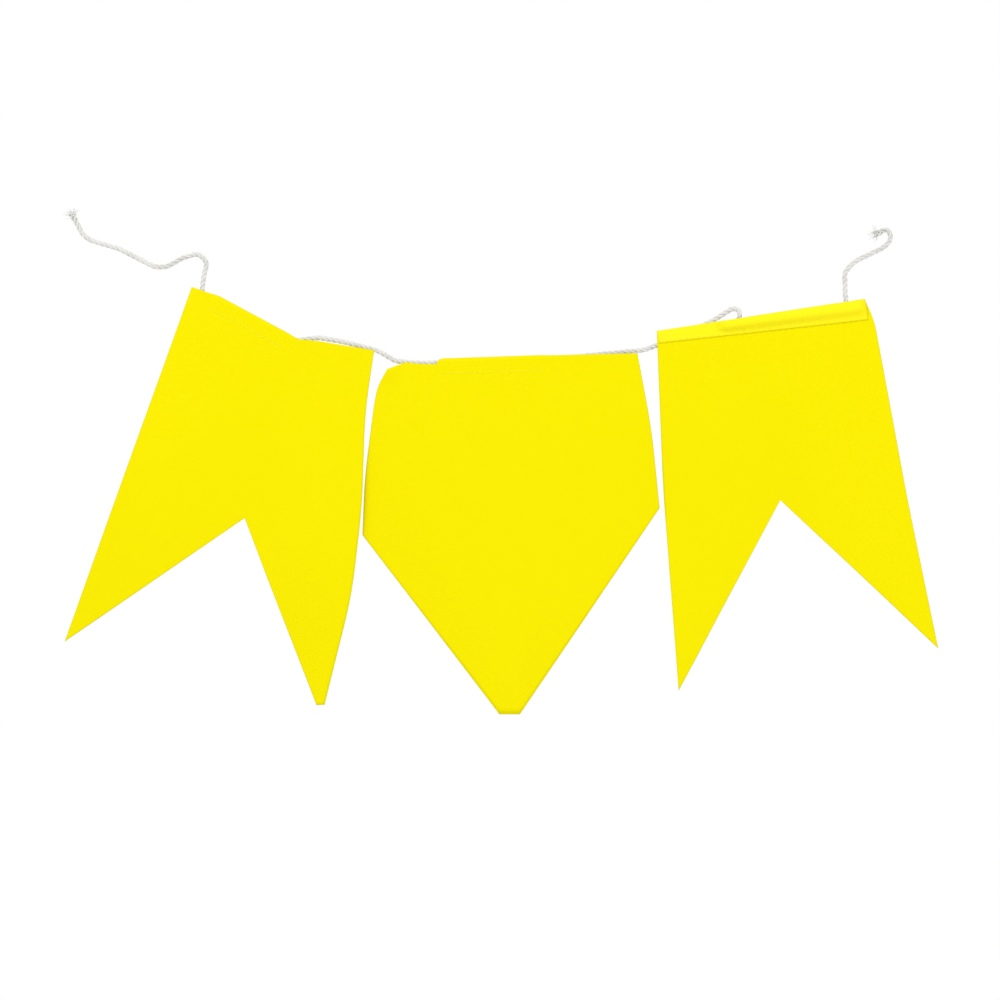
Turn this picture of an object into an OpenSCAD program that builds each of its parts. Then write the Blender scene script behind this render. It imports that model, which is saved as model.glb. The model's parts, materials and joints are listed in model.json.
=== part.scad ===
// Three cloth flags on one twisted cord, hanging in the XZ plane with their fronts to -Y.
// The origin is where the string is tied, in the middle of the straight length at the cord's left end.
// Places below are written from the middle of the centre flag's top edge, and hang() moves the whole
// string to its origin. Points of the hanging plane are [x, z], and points of the cord are [x, y, z].

/* [Cord] */
// Diameter of the cord
cord_d = 2.6; // [2.4:0.1:2.8]
// Gap between the cord and the inside of a hem
cord_play = 0.15; // [0.1:0.01:0.2]

/* [Cloth] */
// Thickness of the cloth
cloth_t = 0.5; // [0.4:0.05:0.5]
// Depth of a hem below the middle of its cord
hem_drop = 6.5; // [6:0.1:6.8]
// Depth of the flat, sewn strip at the foot of a hem
seam_h = 1.8; // [1.6:0.1:2]
// Gap between a hem and the cloth that hangs from it
fold_gap = 0.45; // [0.4:0.05:0.6]

/* [Stitches] */
// Diameter of the sewing thread
thread_d = 0.4; // [0.3:0.05:0.5]
// Length of one stitch
stitch_w = 2.2; // [1.8:0.1:2.6]
// Distance from one stitch to the next
stitch_pitch = 3.2; // [3:0.1:4]

/* [Left flag] */
// Slope of the line between its top corners
left_slope = -19.5; // [-20:0.5:-19]
// Width between its top corners
left_top_w = 96; // [95:0.5:97]
// Depth of the dip in its top edge below that line
left_dip_depth = 6.5; // [6:0.1:7]
// Height of its notch above its tails
left_notch_h = 83; // [70:1:90]
// Depth of the line that its cloth swings on
left_fold_depth = 16; // [15.8:0.1:17]

/* [Centre flag] */
// Slope of the top edge of the centre flag
centre_slope = 2; // [1.5:0.1:2.5]
// Height of its pointed part
centre_point_h = 96; // [85:1:100]
// Depth of the line that its cloth swings on
centre_fold_depth = 9.7; // [9.4:0.1:11]

/* [Right flag] */
// Slope of the top edge of the right flag
right_slope = 8.75; // [8.5:0.25:9]
// Width of its top edge
right_top_w = 105; // [104:0.5:106]
// Height of its notch above its tails
right_notch_h = 86; // [70:1:90]
// Depth of the line that its cloth swings on
right_fold_depth = 12; // [11.8:0.1:12.6]

/* [Hidden] */
$fn = 48;

cloth_colour = [0.99, 0.94, 0.01];
cord_colour = [0.93, 0.93, 0.92];

cord_r = cord_d / 2;
// Where the cord bends it is a little slimmer than its straight lengths
soft_r = 0.98 * cord_r;
sleeve_ir = cord_r + cord_play;
sleeve_or = sleeve_ir + cloth_t;
thread_r = thread_d / 2;
// Room between two things that touch in the real object, and how far flat cloth stands past a sleeve
skin = 0.02;
face_y = sleeve_or + skin;
// Round upper edge of the cloth on its fold line
fold_r = 0.7 * cloth_t;
// Longer than any flag is wide
reach = 300;

// The left flag hangs in front of the centre one, and the right flag's cloth lies behind both
left_y = -2.2;
behind_y = face_y + cord_play + cord_r;

// Tongue at the end of a length of cord, which the next length turns round
tongue_r = 0.9 * cord_r;
tongue_h = 1.5 * cord_r;
sag_gap = 1.2 * cord_r;
fold_room = 2.8 * cord_r;

// ---- Where each hem's straight stretch of cord starts and ends ----

// A point of the hanging plane, so far along and below a line of the given slope
function below(at, slope, along, depth) =
    at + along * [cos(slope), sin(slope)] + depth * [sin(slope), -cos(slope)];
function in_depth(p, y) = [p.x, y, p.y];

left_corner = [-159.5, 34.5];
left_crest_along = 14;
left_crest_rise = 0.5;
left_crest_at = below(left_corner, left_slope, left_crest_along, -left_crest_rise);
left_dip_along = 59;
left_dip_at = below(left_corner, left_slope, left_dip_along, left_dip_depth);
left_hem_drop = left_crest_rise + left_dip_depth;
left_hem_slope = left_slope - atan(left_hem_drop / (left_dip_along - left_crest_along));
left_hem_start = 1.5;
left_hem_w = 38;

centre_edge = [0, 0.3];
centre_hem_start = -34;
centre_hem_w = 50;

right_corner = [73, 13];
right_hem_start = 44.5;
right_hem_w = 46;
// The sewn part of the right hem at the flag's left, where the cord runs behind both layers
right_flat_w = 32;

// How far a run of cord stays straight past the two ends of its hem, and truly round within that
straight_past = 4;
right_straight_before = 5.2;
right_straight_past = 4.3;
round_past = 2.4;
centre_round_past = 3.3;

// The middle of the cord, so far along a hem from where the hem's straight edge begins
function left_cord(along) =
    in_depth(below(left_crest_at, left_hem_slope, along, sleeve_or), left_y);
function centre_cord(along) = in_depth(below(centre_edge, centre_slope, along, sleeve_or), 0);
function right_cord(along) = in_depth(below(right_corner, right_slope, along, sleeve_or), 0);

// ---- Points where the cord flexes ----
left_end_len = 12.4;
left_end_rise = 62.6;
left_end_flex = [-214, left_y, 61];
left_end_tip = left_end_flex + left_end_len * [-cos(left_end_rise), 0, sin(left_end_rise)];
tie_at = (left_end_flex + left_end_tip) / 2;
left_tail_flex = [-153.3, left_y, 41.5];
left_sag_flex = [-66.5, -0.9, 3];
left_fold_flex = [-58, 0, -2];
right_fold_flex = [66.5, 2, 3.6];
right_sag_flex = [78, behind_y, 8];
right_tail_flex = [166.8, 0, 34];
right_end_flex = [186, 0, 54.6];
// The frayed end turns a little to the front, clear of the flags
right_end_turn = [190, 0, 63.8];
right_end_tip = [181, -2.2, 61];
right_tip_len = 6.5;

// ---- Outlines of the flags, from the top left corner clockwise ----
left_tail_h = 182.6;
left_outline = let (c = left_corner, s = left_slope) [
    below(c, s, 0, -0.35),
    left_crest_at,
    left_dip_at,
    below(c, s, 69, 4),
    below(c, s, left_top_w + 0.3, -0.8),
    below(c, s, left_top_w + 6.4, 30),
    below(c, s, left_top_w + 20.8, 75),
    below(c, s, left_top_w + 30.6, 118),
    below(c, s, left_top_w + 36, 174),
    below(c, s, left_top_w + 32.2, 175.5),
    below(c, s, 63.4, left_tail_h - left_notch_h),
    below(c, s, -0.5, 187.5)
];
centre_shoulder_z = -82.5;
centre_outline = [
    [-35.6, -1.3],
    [18, 0.85],
    [62.9, 1.72],
    [70, -36],
    [74, -75.5],
    [4.2, centre_shoulder_z - centre_point_h],
    [-6, centre_shoulder_z - centre_point_h],
    [-74.4, -89],
    [-73.3, -60],
    [-68.6, -23.5],
    [-66.8, -14.5],
    [-62, -6.2],
    [-53, -2.75],
    [-44.5, -3.6],
    [-37.2, -3.7]
];
right_tail_h = 179;
right_outline = let (c = right_corner, s = right_slope) [
    below(c, s, -0.3, 0),
    below(c, s, right_top_w, 0),
    below(c, s, right_top_w + 3.3, 12),
    below(c, s, right_top_w + 6, 102),
    below(c, s, right_top_w + 10, 178.5),
    below(c, s, 48.2, right_tail_h - right_notch_h),
    below(c, s, -16.9, 179.5),
    below(c, s, -9.1, 78)
];

// ---- Cord ----
function unit(v) = v / norm(v);
function bend_angle(a, b, c) = acos(unit(b - a) * unit(c - b));

// Rings round a bend at corner i: each is where its middle is and which way the cord runs there
bend_steps = 4;
function bend_rings(points, i, r) = let (
    inward = unit(points[i] - points[i - 1]),
    onward = unit(points[i + 1] - points[i]),
    turned = bend_angle(points[i - 1], points[i], points[i + 1]),
    middle = unit(onward - (onward * inward) * inward),
    start = points[i] - r * tan(turned / 2) * inward
) [
    for (k = [0 : bend_steps]) let (a = turned * k / bend_steps)
        [start + r * sin(a) * inward + r * (1 - cos(a)) * middle, cos(a) * inward + sin(a) * middle]
];

// Points of one ring round the cord
cord_sides = 16;
function ring_points(ring, r) = let (
    flat = unit(cross(ring[1], [0, 1, 0])),
    deep = cross(ring[1], flat)
) [
    for (k = [0 : cord_sides - 1]) let (a = 360 * k / cord_sides)
        ring[0] + r * (cos(a) * flat + sin(a) * deep)
];

// A soft length of cord through its points, bent at every corner, that starts a little way in
module cord_length(points, bend_r, start_gap) {
    last = len(points) - 1;
    way_in = unit(points[1] - points[0]);
    way_out = unit(points[last] - points[last - 1]);
    rings = concat(
        [[points[0] + start_gap * way_in, way_in]],
        [for (i = [1 : 1 : last - 1]) each bend_rings(points, i, bend_r)],
        [[points[last], way_out]]
    );
    n = cord_sides;
    top = len(rings) - 1;
    sides = [for (i = [0 : top - 1], k = [0 : n - 1]) let (next = (k + 1) % n)
        [i * n + k, (i + 1) * n + k, (i + 1) * n + next, i * n + next]];
    polyhedron(
        points = [for (ring = rings) each ring_points(ring, soft_r)],
        faces = concat([[for (k = [0 : n - 1]) k]], sides, [[for (k = [n - 1 : -1 : 0]) top * n + k]])
    );
}

// A straight and truly round length of cord, from a to b
module cord_straight(a, b) {
    z = unit(b - a);
    x = unit(cross(z, [0, 1, 0]));
    y = cross(z, x);
    multmatrix([[x.x, y.x, z.x, a.x], [x.y, y.y, z.y, a.y], [x.z, y.z, z.z, a.z]])
        cylinder(r = cord_r, h = norm(b - a));
}

// The round end that the next length turns on: across the plane for a sag, upright for a fold
module sag_tongue(at) translate(at) rotate([90, 0, 0]) cylinder(r = tongue_r, h = tongue_h, center = true);
module fold_tongue(at) translate(at) cylinder(r = tongue_r, h = tongue_h, center = true);

module cord_left_end() color(cord_colour) {
    cord_straight(left_end_tip, left_end_flex);
    sag_tongue(left_end_flex);
}

module cord_left_tail() color(cord_colour) {
    cord_length([
        left_end_flex,
        [-210.5, left_y, 58.3],
        [-196, left_y, 54],
        [-178, left_y, 44.8],
        [-172, left_y, 44.8],
        [-164.5, left_y, 49.2],
        [-156.2, left_y, 51.8],
        [-151.6, left_y, 47],
        left_tail_flex
    ], bend_r = 3, start_gap = sag_gap);
    sag_tongue(left_tail_flex);
}

module cord_left_run() color(cord_colour) {
    cord_length([
        left_tail_flex,
        [-154.8, left_y, 31.5],
        left_cord(left_hem_start - straight_past),
        left_cord(left_hem_start + left_hem_w + straight_past),
        [-96, left_y, 9.6],
        [-84, left_y, 7.6],
        left_sag_flex
    ], bend_r = 2, start_gap = sag_gap);
    cord_straight(
        left_cord(left_hem_start - round_past),
        left_cord(left_hem_start + left_hem_w + round_past)
    );
    sag_tongue(left_sag_flex);
}

module cord_left_gap() color(cord_colour) {
    way = unit(left_fold_flex - left_sag_flex);
    cord_straight(left_sag_flex + sag_gap * way, left_fold_flex);
    fold_tongue(left_fold_flex);
}

module cord_centre_run() color(cord_colour) {
    cord_length([
        left_fold_flex,
        [-47, 0, -3.1],
        centre_cord(centre_hem_start - straight_past),
        centre_cord(centre_hem_start + centre_hem_w + straight_past),
        [40, 0.8, 0.9],
        right_fold_flex
    ], bend_r = 2, start_gap = fold_room);
    cord_straight(
        centre_cord(centre_hem_start - centre_round_past),
        centre_cord(centre_hem_start + centre_hem_w + centre_round_past)
    );
    fold_tongue(right_fold_flex);
}

module cord_right_gap() color(cord_colour) {
    cord_length([
        right_fold_flex,
        [70, behind_y, 4.9],
        right_sag_flex
    ], bend_r = 2, start_gap = fold_room);
    sag_tongue(right_sag_flex);
}

module cord_right_run() color(cord_colour) {
    cord_length([
        right_sag_flex,
        [101, behind_y, 18.4],
        [111.5, 1.2, 25],
        [114.4, 0.3, 23],
        right_cord(right_hem_start - right_straight_before),
        right_cord(right_hem_start + right_hem_w + right_straight_past),
        right_tail_flex
    ], bend_r = 1.5, start_gap = sag_gap);
    cord_straight(
        right_cord(right_hem_start - round_past),
        right_cord(right_hem_start + right_hem_w + round_past)
    );
    sag_tongue(right_tail_flex);
}

module cord_right_tail() color(cord_colour) {
    cord_length([
        right_tail_flex,
        [166.5, 0, 42.5],
        [172, 0, 48],
        right_end_flex
    ], bend_r = 3, start_gap = sag_gap);
    sag_tongue(right_end_flex);
}

module cord_right_end() color(cord_colour) {
    cord_length([
        right_end_flex,
        [189.3, 0, 57.8],
        right_end_turn,
        right_end_tip
    ], bend_r = 1.6, start_gap = sag_gap);
    cord_straight(right_end_tip + right_tip_len * unit(right_end_turn - right_end_tip), right_end_tip);
}

// ---- Flags ----

// A sheet of cloth over a plane shape, its front face at depth y
module sheet(y, t = cloth_t) translate([0, y + t, 0]) rotate([90, 0, 0]) linear_extrude(t) children();

// The part of an outline between two heights over its fold line
module strip(outline, at, slope, low, high)
    intersection() {
        polygon(outline);
        translate(at) rotate(slope) translate([-reach, low]) square([2 * reach, high - low]);
    }

// The cloth above the cord that a sleeve takes the place of. The sleeve laps a little past its ends
module over_cord(start, w, slope)
    translate([start.x, start.z]) rotate(slope) translate([skin, -skin])
        square([w - 2 * skin, 2 * sleeve_or]);

// Section of a hem round its cord. X is depth from the cord, and the leaf comes down on the +X side
module hem_section() {
    shut = [-sleeve_ir, seam_h - hem_drop];
    out = atan2(shut.y, shut.x) + acos(sleeve_ir / norm(shut));
    leaf = [cos(out), sin(out)];
    difference() {
        union() {
            circle(r = sleeve_or);
            polygon([
                [-sleeve_or, 0],
                [-sleeve_or, -hem_drop],
                [cloth_t - sleeve_ir, -hem_drop],
                shut + cloth_t * leaf,
                sleeve_or * leaf
            ]);
        }
        circle(r = sleeve_ir);
        polygon([[-sleeve_ir, 0], shut, sleeve_ir * leaf]);
    }
}

// Puts a section across the cord, or a row along it, at a point of the cord
module on_cord(start, slope) translate(start) rotate([0, -slope, 0]) rotate([90, 0, 90]) children();

// A hem's sleeve, its leaf behind the cord for a side of 1 and in front of it for -1
module sleeve(start, w, slope, side)
    on_cord(start, slope)
        translate([0, 0, side < 0 ? w : 0])
            rotate([0, side < 0 ? 180 : 0, 0])
                linear_extrude(w) hem_section();

// Rows of stitches along the foot of a hem, on both faces of the doubled cloth
module stitches(start, w, slope, side) {
    count = floor((w - stitch_w) / stitch_pitch);
    margin = (w - stitch_w - count * stitch_pitch) / 2;
    faces = [-face_y - thread_r - skin, cloth_t - sleeve_ir + thread_r + skin];
    for (face = faces, i = [0 : count])
        on_cord(start, slope)
            translate([side * face, seam_h / 2 - hem_drop, margin + i * stitch_pitch])
                cylinder(r = thread_r, h = stitch_w);
}

// The cloth below a fold line, with a round upper edge on that line
module swinging_cloth(outline, at, slope, y) {
    sheet(y) strip(outline, at, slope, -reach, 0);
    intersection() {
        translate([at.x, y + cloth_t / 2, at.y])
            rotate([0, 90 - slope, 0]) cylinder(r = fold_r, h = 2 * reach, center = true);
        sheet(y - cloth_t, 3 * cloth_t) polygon(outline);
    }
}

// The cloth of a flag above its fold line, at depth y, and the sleeve that holds the cord
module hem(outline, fold_at, slope, y, start, w, hem_slope, side) {
    sheet(y) difference() {
        strip(outline, fold_at, slope, fold_gap, reach);
        over_cord(start, w, hem_slope);
    }
    sleeve(start, w, hem_slope, side);
}

left_fold_at = below(left_corner, left_slope, 0, left_fold_depth);
left_start = left_cord(left_hem_start);
module left_flag_hem() color(cloth_colour)
    hem(left_outline, left_fold_at, left_slope, left_y - face_y, left_start, left_hem_w, left_hem_slope, 1);
module left_flag_cloth() color(cloth_colour)
    swinging_cloth(left_outline, left_fold_at, left_slope, left_y - face_y);
module left_flag_seam() color(cloth_colour)
    stitches(left_start, left_hem_w, left_hem_slope, 1);

centre_fold_at = below(centre_edge, centre_slope, 0, centre_fold_depth);
centre_start = centre_cord(centre_hem_start);
module centre_flag_hem() color(cloth_colour)
    hem(centre_outline, centre_fold_at, centre_slope, -face_y, centre_start, centre_hem_w, centre_slope, 1);
module centre_flag_cloth() color(cloth_colour)
    swinging_cloth(centre_outline, centre_fold_at, centre_slope, -face_y);
module centre_flag_seam() color(cloth_colour)
    stitches(centre_start, centre_hem_w, centre_slope, 1);

// The right flag is turned round: its cloth is behind the cord and its leaf comes down in front.
// The leaf lies flat on the cloth beside the sleeve, where the cord runs behind both.
right_y = face_y - cloth_t;
right_fold_at = below(right_corner, right_slope, 0, right_fold_depth);
right_start = right_cord(right_hem_start);
module right_flag_hem() color(cloth_colour) {
    hem(right_outline, right_fold_at, right_slope, right_y, right_start, right_hem_w, right_slope, -1);
    sheet(right_y - cloth_t + skin) intersection() {
        strip(right_outline, right_fold_at, right_slope, fold_gap, reach);
        translate(right_corner) rotate(right_slope) translate([0, -hem_drop - sleeve_or])
            square([right_flat_w, reach]);
    }
}
module right_flag_cloth() color(cloth_colour)
    swinging_cloth(right_outline, right_fold_at, right_slope, right_y);
module right_flag_seam() color(cloth_colour)
    stitches(right_start, right_hem_w, right_slope, -1);

// Moves what is placed from the centre flag so that the string's tie is at the origin
module hang() translate(-tie_at) children();

hang() cord_left_end();
hang() cord_left_tail();
hang() cord_left_run();
hang() cord_left_gap();
hang() cord_centre_run();
hang() cord_right_gap();
hang() cord_right_run();
hang() cord_right_tail();
hang() cord_right_end();
hang() left_flag_hem();
hang() left_flag_cloth();
hang() left_flag_seam();
hang() centre_flag_hem();
hang() centre_flag_cloth();
hang() centre_flag_seam();
hang() right_flag_hem();
hang() right_flag_cloth();
hang() right_flag_seam();
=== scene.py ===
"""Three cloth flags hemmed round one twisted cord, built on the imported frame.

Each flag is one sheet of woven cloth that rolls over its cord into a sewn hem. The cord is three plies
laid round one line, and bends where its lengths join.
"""
import json
import math

import bpy
import numpy as np
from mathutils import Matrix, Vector

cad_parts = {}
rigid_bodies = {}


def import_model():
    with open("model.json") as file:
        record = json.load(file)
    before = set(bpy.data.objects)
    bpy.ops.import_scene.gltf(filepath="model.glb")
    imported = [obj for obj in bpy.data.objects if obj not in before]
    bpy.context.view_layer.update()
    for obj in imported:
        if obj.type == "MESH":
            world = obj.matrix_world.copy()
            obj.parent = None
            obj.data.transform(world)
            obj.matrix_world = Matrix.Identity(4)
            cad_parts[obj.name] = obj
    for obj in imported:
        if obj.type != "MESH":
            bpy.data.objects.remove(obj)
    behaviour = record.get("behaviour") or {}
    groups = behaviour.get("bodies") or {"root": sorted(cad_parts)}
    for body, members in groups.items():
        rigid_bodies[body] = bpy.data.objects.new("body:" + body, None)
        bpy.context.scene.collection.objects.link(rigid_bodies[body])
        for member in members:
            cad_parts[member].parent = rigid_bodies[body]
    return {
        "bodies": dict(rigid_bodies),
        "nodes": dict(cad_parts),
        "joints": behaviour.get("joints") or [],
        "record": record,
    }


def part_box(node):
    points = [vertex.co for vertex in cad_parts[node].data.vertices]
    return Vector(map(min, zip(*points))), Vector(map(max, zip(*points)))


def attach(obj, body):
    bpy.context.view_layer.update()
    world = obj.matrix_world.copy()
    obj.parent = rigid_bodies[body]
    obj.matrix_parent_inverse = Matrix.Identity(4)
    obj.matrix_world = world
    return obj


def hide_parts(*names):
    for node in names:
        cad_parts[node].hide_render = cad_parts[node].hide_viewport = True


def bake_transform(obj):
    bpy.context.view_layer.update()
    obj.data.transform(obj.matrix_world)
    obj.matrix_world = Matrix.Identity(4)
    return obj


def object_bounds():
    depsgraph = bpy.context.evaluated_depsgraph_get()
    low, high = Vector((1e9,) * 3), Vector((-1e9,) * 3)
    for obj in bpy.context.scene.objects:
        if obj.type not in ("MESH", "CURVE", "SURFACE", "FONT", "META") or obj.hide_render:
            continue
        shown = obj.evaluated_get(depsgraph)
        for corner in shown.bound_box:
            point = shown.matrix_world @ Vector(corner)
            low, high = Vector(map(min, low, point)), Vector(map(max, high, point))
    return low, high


MM = 0.001
UP = np.array([0.0, 0.0, 1.0])
FRONT = np.array([0.0, -1.0, 0.0])

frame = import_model()
cad_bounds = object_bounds()
joints = {joint["name"]: joint for joint in frame["joints"]}


# ---------------------------------------------------------------- small maths

def unit(v):
    return v / np.linalg.norm(v)


def smooth_step(x, low, high):
    """0 below low, 1 above high and a smooth rise between them."""
    t = np.clip((x - low) / (high - low), 0, 1)
    return t * t * (3 - 2 * t)


def lengths_along(points):
    """How far along a line each of its points is."""
    return np.concatenate([[0], np.cumsum(np.linalg.norm(np.diff(points, axis=0), axis=1))])


def at_lengths(points, along):
    """The points so far along a line."""
    own = lengths_along(points)
    return np.stack([np.interp(along, own, column) for column in points.T], axis=1)


# ---------------------------------------------------------------- reading the frame

same_place = 0.001 * MM       # points nearer than this are one point
flat_enough = 0.9999          # share of a triangle's area that is seen from the front when it is flat
end_inset = 0.002 * MM        # keeps a cut just inside the ends of a hem
upright = 0.0001 * MM         # an edge narrower than this runs straight up
hem_foot = 0.4 * MM           # a hem's outline is taken from this far above the fold line
fold_room = 1.0 * MM          # and the hanging cloth's from this far below it
straight_within = 0.04 * MM   # a point nearer than this to its neighbours' line isn't a corner
rounding = 14 * MM            # a rounded corner starts this far from its point, at most
rounding_share = 0.45         # and at most this share of the shorter side
rounding_steps = 7


def node_mesh(node):
    """A CAD node's points, with doubles merged, and its triangles."""
    mesh = frame["nodes"][node].data
    mesh.calc_loop_triangles()
    raw = np.array([v.co for v in mesh.vertices])
    triangles = np.array([t.vertices for t in mesh.loop_triangles])
    _, first, merged = np.unique(np.round(raw / same_place), axis=0, return_index=True,
                                 return_inverse=True)
    return raw[first], merged.reshape(-1)[triangles]


def edges_of(triangles):
    """Every edge of some triangles once, and how many of them use it."""
    pairs = np.concatenate([triangles[:, [0, 1]], triangles[:, [1, 2]], triangles[:, [2, 0]]])
    return np.unique(np.sort(pairs, axis=1), axis=0, return_counts=True)


def rim_loop(points, triangles):
    """The outline of a flat patch of triangles, as an ordered ring of points."""
    edges, uses = edges_of(triangles)
    neighbours = {}
    for a, b in edges[uses == 1]:
        neighbours.setdefault(a, []).append(b)
        neighbours.setdefault(b, []).append(a)
    ring = [next(iter(neighbours))]
    before = None
    while True:
        onward = [n for n in neighbours[ring[-1]] if n != before]
        before = ring[-1]
        if onward[0] == ring[0]:
            return points[ring]
        ring.append(onward[0])


def without_straight_points(ring):
    """A closed outline without the points that lie on the line between their neighbours."""
    kept = []
    for i, p in enumerate(ring):
        a = kept[-1] if kept else ring[i - 1]
        b = ring[(i + 1) % len(ring)]
        way = unit(b - a)
        off = (p - a) - np.dot(p - a, way) * way
        if np.linalg.norm(off) > straight_within:
            kept.append(p)
    return np.array(kept)


class FlagFrame:
    """A flag's own plane: u runs along its fold line, v up from that line and y is depth."""

    def __init__(self, side):
        joint = joints[side + "_flag_swing"]
        axis = np.array(joint["axis"], float)
        self.origin = np.array(joint["pos_m"], float)
        self.along = unit(axis * np.sign(axis[0]))
        self.upward = np.cross(FRONT, self.along)

    def flat(self, points):
        """Points as [u, v]."""
        away = points - self.origin
        return np.stack([away @ self.along, away @ self.upward], axis=1)

    def place(self, uv, y):
        """Points of the world from [u, v] and a depth for each."""
        world = self.origin + uv[:, :1] * self.along + uv[:, 1:2] * self.upward
        world[:, 1] = y
        return world


def cloth_plane(node):
    """The depths of the two faces of a CAD node's flat sheet, front first, and its front triangles."""
    points, triangles = node_mesh(node)
    corners = points[triangles]
    across = np.cross(corners[:, 1] - corners[:, 0], corners[:, 2] - corners[:, 0])
    area = np.linalg.norm(across, axis=1)
    flat = np.abs(across[:, 1]) > flat_enough * area
    depth = np.round(corners[:, :, 1].mean(axis=1) / same_place).astype(int)
    sums = {d: area[flat & (depth == d)].sum() for d in np.unique(depth[flat])}
    front, back = sorted(sorted(sums, key=sums.get)[-2:])
    return front * same_place, back * same_place, points, triangles[flat & (depth == front)]


def upper_outline(side, own):
    """The top edge of a flag's hem as [u, v], where it stands above the fold line, from left to right."""
    points, triangles = node_mesh(side + "_flag_hem")
    hem = own.flat(points)
    edges, _ = edges_of(triangles)
    a, b = hem[edges[:, 0]], hem[edges[:, 1]]
    low, high = np.minimum(a[:, 0], b[:, 0]), np.maximum(a[:, 0], b[:, 0])
    first, last = hem[:, 0].min() + end_inset, hem[:, 0].max() - end_inset
    top = []
    for u in np.unique(np.round(np.clip(hem[:, 0], first, last), 6)):
        met = (low <= u) & (u <= high) & (high - low > upright)
        if not met.any():
            continue
        share = (u - a[met, 0]) / (b[met, 0] - a[met, 0])
        v = (a[met, 1] + share * (b[met, 1] - a[met, 1])).max()
        if v > hem_foot:
            top.append([u, v])
    return np.array(top)


def lower_outline(ring):
    """The part of a hanging cloth's outline below the fold line, clockwise from its right side."""
    area = np.sum(ring[:, 0] * np.roll(ring[:, 1], -1) - np.roll(ring[:, 0], -1) * ring[:, 1])
    if area > 0:
        ring = ring[::-1]
    below = ring[:, 1] < -fold_room
    start = next(i for i in range(len(ring)) if below[i] and not below[i - 1])
    return np.roll(ring, -start, axis=0)[:below.sum()]


def flag_outline(side, own):
    """A flag's whole outline as [u, v], clockwise from its top left, its four main corners in it, and
    the depth of its middle."""
    front, back, points, triangles = cloth_plane(side + "_flag_cloth")
    ring = own.flat(rim_loop(points, triangles))
    outline = without_straight_points(np.concatenate([upper_outline(side, own), lower_outline(ring)]))
    # The direction in which each corner lies furthest out
    towards = {"top_left": (-1, 1), "top_right": (1, 1), "low_right": (2.5, -1), "low_left": (-2.5, -1)}
    corners = {name: int(np.argmax(outline @ np.array(way))) for name, way in towards.items()}
    return outline, corners, (front + back) / 2


def softened(line):
    """A line with its corners rounded, as cut cloth hangs."""
    soft = [line[:1]]
    for before, p, after in zip(line, line[1:], line[2:]):
        shorter = min(np.linalg.norm(p - before), np.linalg.norm(after - p))
        reach = min(rounding, rounding_share * shorter)
        a, b = p + reach * unit(before - p), p + reach * unit(after - p)
        share = np.linspace(0, 1, rounding_steps)[:, None]
        soft.append((1 - share) ** 2 * a + 2 * share * (1 - share) * p + share ** 2 * b)
    return np.concatenate(soft + [line[-1:]])


def between(outline, first, last):
    """The points of a closed outline from one of them to another, going on round."""
    count = (last - first) % len(outline)
    return outline[[(first + i) % len(outline) for i in range(count + 1)]]


# ---------------------------------------------------------------- meshes

def new_object(name, points, faces, smooth=None):
    """A mesh object in the scene. Its faces are smooth unless a list says which are."""
    mesh = bpy.data.meshes.new(name)
    mesh.from_pydata([tuple(p) for p in points], [], [tuple(int(i) for i in f) for f in faces])
    flags = np.ones(len(faces), bool) if smooth is None else np.asarray(smooth, bool)
    mesh.polygons.foreach_set("use_smooth", flags)
    mesh.update()
    thing = bpy.data.objects.new(name, mesh)
    bpy.context.scene.collection.objects.link(thing)
    return thing


def set_attribute(thing, name, vectors):
    """Gives each point of an object a vector that its material reads by name."""
    layer = thing.data.attributes.new(name, "FLOAT_VECTOR", "POINT")
    layer.data.foreach_set("vector", np.asarray(vectors, np.float32).ravel())


def thick_sheet(points, quads, thickness):
    """Both faces of a sheet of cloth and the cut rim round it."""
    a, b, c, d = (points[quads[:, i]] for i in range(4))
    across = np.cross(c - a, d - b)
    normals = np.zeros_like(points)
    for i in range(4):
        np.add.at(normals, quads[:, i], across)
    normals /= np.linalg.norm(normals, axis=1, keepdims=True)
    count = len(points)
    both = np.concatenate([points + normals * thickness / 2, points - normals * thickness / 2])
    sides = np.concatenate([quads[:, [i, (i + 1) % 4]] for i in range(4)])
    used = {(a, b) for a, b in sides}
    rim = np.array([(a, b) for a, b in sides if (b, a) not in used])
    rims = np.stack([rim[:, 1], rim[:, 0], rim[:, 0] + count, rim[:, 1] + count], axis=1)
    faces = np.concatenate([quads, quads[:, ::-1] + count, rims])
    smooth = np.arange(len(faces)) < 2 * len(quads)
    return both, faces, smooth


# ---------------------------------------------------------------- materials

def material(name):
    """An empty material, and what adds nodes to it."""
    made = bpy.data.materials.new(name)
    made.use_nodes = True
    made.node_tree.nodes.clear()
    return made, Nodes(made.node_tree)


class Nodes:
    """Adds shader nodes by type and links them by the names of their sockets."""

    def __init__(self, tree):
        self.tree = tree

    def add(self, kind, settings=None, **inputs):
        node = self.tree.nodes.new("ShaderNode" + kind)
        for key, value in (settings or {}).items():
            setattr(node, key, value)
        for key, value in inputs.items():
            self.put(node, key.replace("_", " "), value)
        return node

    def put(self, node, key, value):
        socket = node.inputs[int(key)] if key.isdigit() else node.inputs[key]
        if isinstance(value, bpy.types.NodeSocket):
            self.tree.links.new(value, socket)
        else:
            socket.default_value = value

    def maths(self, operation, a, b=0.0, c=0.0):
        node = self.add("Math", {"operation": operation})
        for i, value in enumerate((a, b, c)):
            self.put(node, str(i), value)
        return node.outputs[0]

    def mix(self, share, a, b, blend="MIX"):
        node = self.add("Mix", {"data_type": "RGBA", "blend_type": blend})
        for key, value in (("0", share), ("6", a), ("7", b)):
            self.put(node, key, value)
        return node.outputs[2]


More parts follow.
